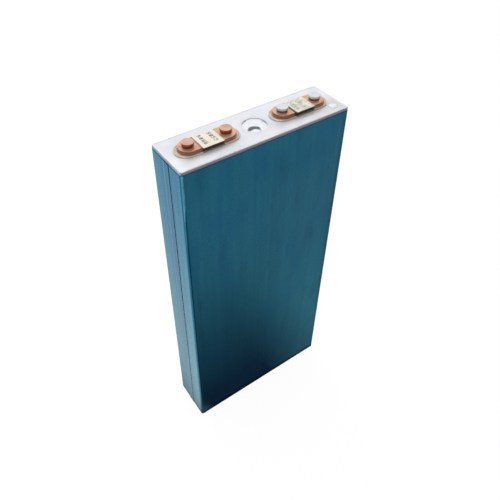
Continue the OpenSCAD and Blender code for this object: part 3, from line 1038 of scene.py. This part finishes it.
def floor_beside(n, x, y):
    """The floor's mirrored colour beside the cell at -X: painted light, with a painted shadow only close
    to the cell.
    """
    out = n.math("SUBTRACT", FILM_LO.x, x)
    along = n.range(n.math("MULTIPLY_ADD", out, -1.456, y), -13 * MM, 20 * MM, 1.14, 0.80)
    contact = n.range(out, 2 * MM, 18 * MM, 0.55, 1.0)
    tone = n.mix(n.range(out, 30 * MM, 140 * MM), SIDE_NEAR, SIDE_FAR)
    return n.mix(n.times(along, contact), (0, 0, 0), tone)


def build_floor():
    """A large pale floor: plain to the camera, and in mirrored rays it glows with painted light and
    shade.
    """
    mesh = bpy.data.meshes.new("floor")
    half = 6.0
    z = -0.1 * MM
    mesh.from_pydata([(-half, -half, z), (half, -half, z), (half, half, z), (-half, half, z)], [],
                     [(0, 1, 2, 3)])
    floor = bpy.data.objects.new("floor", mesh)
    bpy.context.scene.collection.objects.link(floor)
    n = Nodes("floor_paper", Roughness=1.0, Specular_IOR_Level=0.0)
    seen = n.add("ShaderNodeLightPath").outputs["Is Camera Ray"]
    x, y = n.axes()[:2]
    behind = n.range(n.math("MULTIPLY_ADD", x, -0.8, y), 20 * MM, 48 * MM)
    mirrored = n.mix(behind, floor_in_front(n, x, y), floor_beside(n, x, y))
    n.set(Base_Color=n.mix(seen, (0, 0, 0), (0.10, 0.10, 0.10)),
          Emission_Color=n.mix(seen, mirrored, (0.93, 0.93, 0.93)), Emission_Strength=1.0)
    mesh.materials.append(n.material)


def grey(level):
    return (level, level, level, 1)


def world_mix(tree, fac, a, b):
    node = tree.nodes.new("ShaderNodeMix")
    node.data_type = "RGBA"
    tree.links.new(fac, node.inputs[0])
    for target, colour in ((node.inputs[6], a), (node.inputs[7], b)):
        if hasattr(colour, "is_output"):
            tree.links.new(colour, target)
        else:
            target.default_value = colour
    return node.outputs[2]


def world_range(tree, value, low, high):
    node = tree.nodes.new("ShaderNodeMapRange")
    node.inputs["From Min"].default_value = low
    node.inputs["From Max"].default_value = high
    tree.links.new(value, node.inputs["Value"])
    return node.outputs["Result"]


def bright_side(tree, direction):
    """Brightness by the angle away from the middle of the bright side."""
    azimuth = math.radians(BRIGHT_AZIMUTH)
    elevation = math.radians(BRIGHT_ELEVATION)
    facing = tree.nodes.new("ShaderNodeVectorMath")
    facing.operation = "DOT_PRODUCT"
    facing.inputs[1].default_value = (math.sin(azimuth) * math.cos(elevation),
                                      math.cos(azimuth) * math.cos(elevation), math.sin(elevation))
    tree.links.new(direction, facing.inputs[0])
    angle = tree.nodes.new("ShaderNodeMath")
    angle.operation = "ARCCOSINE"
    tree.links.new(facing.outputs["Value"], angle.inputs[0])
    ramp = tree.nodes.new("ShaderNodeValToRGB")
    tree.links.new(world_range(tree, angle.outputs["Value"], 0.0, math.pi), ramp.inputs["Fac"])
    elements = ramp.color_ramp.elements
    while len(elements) < len(BRIGHT_STOPS):
        elements.new(0.5)
    for element, (degrees, level) in zip(elements, BRIGHT_STOPS):
        element.position = degrees / 180
        element.color = (level, level, level * 1.02, 1)
    return ramp.outputs["Color"]


def build_world():
    """Room light: white to the camera, even to matt surfaces, and to metal one soft bright side with
    a small bright ceiling."""
    world = bpy.data.worlds.new("studio")
    bpy.context.scene.world = world
    world.use_nodes = True
    world.cycles.sampling_method = "NONE"
    tree = world.node_tree
    direction = tree.nodes.new("ShaderNodeTexCoord").outputs["Generated"]
    split = tree.nodes.new("ShaderNodeSeparateXYZ")
    tree.links.new(direction, split.inputs[0])
    overhead = world_range(tree, split.outputs["Z"], math.cos(math.radians(OVERHEAD_OUTER)),
                           math.cos(math.radians(OVERHEAD_INNER)))
    room = world_mix(tree, overhead, bright_side(tree, direction), grey(OVERHEAD_LEVEL))
    path = tree.nodes.new("ShaderNodeLightPath")
    light = world_mix(tree, path.outputs["Is Glossy Ray"], grey(SOFT_LEVEL), room)
    light = world_mix(tree, path.outputs["Is Camera Ray"], light, grey(1))
    tree.links.new(light, tree.nodes["Background"].inputs["Color"])


def build_lights():
    """A soft panel above and behind the cell, which metal doesn't mirror."""
    at = Vector((0.05, 0.75, 0.95))
    aim = Vector((0, 0, 0.27))
    data = bpy.data.lights.new("panel_behind", "AREA")
    data.shape = "RECTANGLE"
    data.size, data.size_y = 0.5, 0.3
    data.energy = 3.0
    light = bpy.data.objects.new("panel_behind", data)
    light.location = at
    light.rotation_euler = (aim - at).to_track_quat("-Z", "Y").to_euler()
    light.visible_glossy = False
    bpy.context.scene.collection.objects.link(light)


def build_studio():
    scene = bpy.context.scene
    scene.view_settings.view_transform = "Standard"
    scene.view_settings.look = "None"
    build_camera()
    build_floor()
    build_world()
    build_lights()


# ---------------------------------------------------------------- the cell

build_case()
build_lid()
build_weld()
build_film()
build_base()
build_vent()
build_vent_film()
build_fill_cap()
for side in ("negative", "positive"):
    build_gasket(side)
    build_plate(side)
build_studs("negative", STUD_COPPER)
build_studs("positive", STUD_ALUMINIUM)
build_label("negative", label_material(
    "negative", (0.93, 0.90, 0.80), (0.88, 0.82, 0.69), (0.20, 0.22, 0.17),
    ((-3.2, 1.5, -5.0, 6.6), (3.8, 1.5, -5.4, 6.2)), 0.95))
build_label("positive", label_material(
    "positive", (0.93, 0.89, 0.76), (0.55, 0.58, 0.47), (0.24, 0.27, 0.21),
    ((-3.4, 1.7, -5.2, 6.4), (2.2, 1.7, -5.2, 6.2)), 0.55, mottle_mm=3))
dress_inner_parts()
build_studio()
